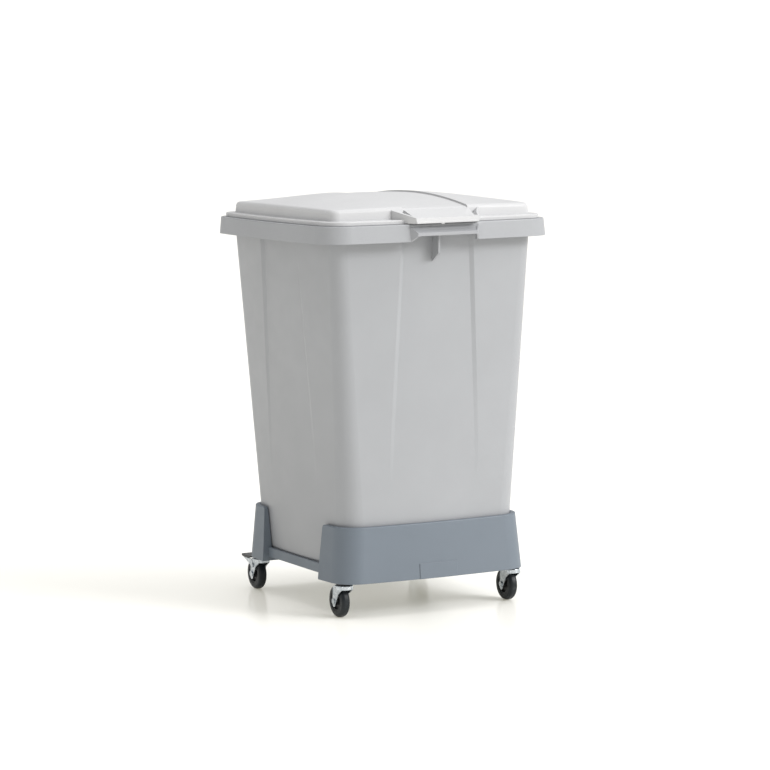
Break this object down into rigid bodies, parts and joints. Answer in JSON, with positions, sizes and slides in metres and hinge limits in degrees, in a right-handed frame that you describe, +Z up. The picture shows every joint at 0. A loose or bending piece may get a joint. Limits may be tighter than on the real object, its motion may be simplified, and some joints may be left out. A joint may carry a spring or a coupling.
{
  "type": "wheeled recycling bin",
  "caption": "Tall tapered container with a hinged domed lid, standing in a wheeled trolley with wrapped corners and braked rear castors.",
  "frame": {"origin": "on the floor, below the middle of the part's bounding box", "axes": "+Z up, the lid's lifting tongue and the trolley's bare plate face -Y, the hinge is on +Y, X along the front"},
  "size_m": [0.41, 0.457, 0.6498],
  "materials": {
    "container_plastic": "light grey moulded plastic, satin",
    "lid_plastic": "light grey moulded plastic, satin",
    "trolley_plastic": "blue-grey moulded plastic, satin",
    "hinge_pin_plastic": "light grey plastic pin",
    "plated_steel": "bright zinc plating",
    "axle_steel": "bright zinc plating",
    "black_cup": "black plastic",
    "hub_plastic": "black plastic",
    "tyre_rubber": "dark grey soft tread",
    "pedal_plastic": "black plastic"
  },
  "bodies": {
    "trolley": {"trolley_base": "trolley_plastic", "front_left_stem": "plated_steel", "front_left_swivel_cup": "black_cup", "front_right_stem": "plated_steel", "front_right_swivel_cup": "black_cup", "rear_left_stem": "plated_steel", "rear_left_swivel_cup": "black_cup", "rear_right_stem": "plated_steel", "rear_right_swivel_cup": "black_cup"},
    "container": {"bin_body": "container_plastic", "lid_hinge_pins": "hinge_pin_plastic"},
    "lid": {"lid": "lid_plastic"},
    "front_left_swivel": {"front_left_fork": "plated_steel", "front_left_axle": "axle_steel"},
    "front_left_wheel": {"front_left_hub": "hub_plastic", "front_left_tyre": "tyre_rubber"},
    "front_right_swivel": {"front_right_fork": "plated_steel", "front_right_axle": "axle_steel"},
    "front_right_wheel": {"front_right_hub": "hub_plastic", "front_right_tyre": "tyre_rubber"},
    "rear_left_swivel": {"rear_left_fork": "plated_steel", "rear_left_axle": "axle_steel"},
    "rear_left_wheel": {"rear_left_hub": "hub_plastic", "rear_left_tyre": "tyre_rubber"},
    "rear_left_pedal": {"rear_left_brake_pedal": "pedal_plastic", "rear_left_brake_lever": "plated_steel"},
    "rear_right_swivel": {"rear_right_fork": "plated_steel", "rear_right_axle": "axle_steel"},
    "rear_right_wheel": {"rear_right_hub": "hub_plastic", "rear_right_tyre": "tyre_rubber"},
    "rear_right_pedal": {"rear_right_brake_pedal": "pedal_plastic", "rear_right_brake_lever": "plated_steel"}
  },
  "joints": [
    {"name": "container_lift", "type": "slide", "parent": "trolley", "child": "container", "axis": [0, 0, 1], "range_m": [0, 0.12]},
    {"name": "lid_hinge", "type": "hinge", "parent": "container", "child": "lid", "pos_m": [0, 0.2225, 0.6165], "axis": [-1, 0, 0], "range_deg": [0, 105]},
    {"name": "front_left_swivel_joint", "type": "hinge", "parent": "trolley", "child": "front_left_swivel", "pos_m": [-0.1488, -0.151, 0.05], "axis": [0, 0, 1], "continuous": true},
    {"name": "front_left_wheel_joint", "type": "hinge", "parent": "front_left_swivel", "child": "front_left_wheel", "pos_m": [-0.1488, -0.135, 0.0255], "axis": [1, 0, 0], "continuous": true},
    {"name": "front_right_swivel_joint", "type": "hinge", "parent": "trolley", "child": "front_right_swivel", "pos_m": [0.1488, -0.151, 0.05], "axis": [0, 0, 1], "continuous": true},
    {"name": "front_right_wheel_joint", "type": "hinge", "parent": "front_right_swivel", "child": "front_right_wheel", "pos_m": [0.1488, -0.135, 0.0255], "axis": [1, 0, 0], "continuous": true},
    {"name": "rear_left_swivel_joint", "type": "hinge", "parent": "trolley", "child": "rear_left_swivel", "pos_m": [-0.1488, 0.151, 0.05], "axis": [0, 0, 1], "continuous": true},
    {"name": "rear_left_wheel_joint", "type": "hinge", "parent": "rear_left_swivel", "child": "rear_left_wheel", "pos_m": [-0.1488, 0.167, 0.0255], "axis": [1, 0, 0], "continuous": true},
    {"name": "rear_left_brake_joint", "type": "hinge", "parent": "rear_left_swivel", "child": "rear_left_pedal", "pos_m": [-0.1488, 0.163, 0.04], "axis": [-1, 0, 0], "range_deg": [0, 7]},
    {"name": "rear_right_swivel_joint", "type": "hinge", "parent": "trolley", "child": "rear_right_swivel", "pos_m": [0.1488, 0.151, 0.05], "axis": [0, 0, 1], "continuous": true},
    {"name": "rear_right_wheel_joint", "type": "hinge", "parent": "rear_right_swivel", "child": "rear_right_wheel", "pos_m": [0.1488, 0.167, 0.0255], "axis": [1, 0, 0], "continuous": true},
    {"name": "rear_right_brake_joint", "type": "hinge", "parent": "rear_right_swivel", "child": "rear_right_pedal", "pos_m": [0.1488, 0.163, 0.04], "axis": [-1, 0, 0], "range_deg": [0, 7]}
  ]
}
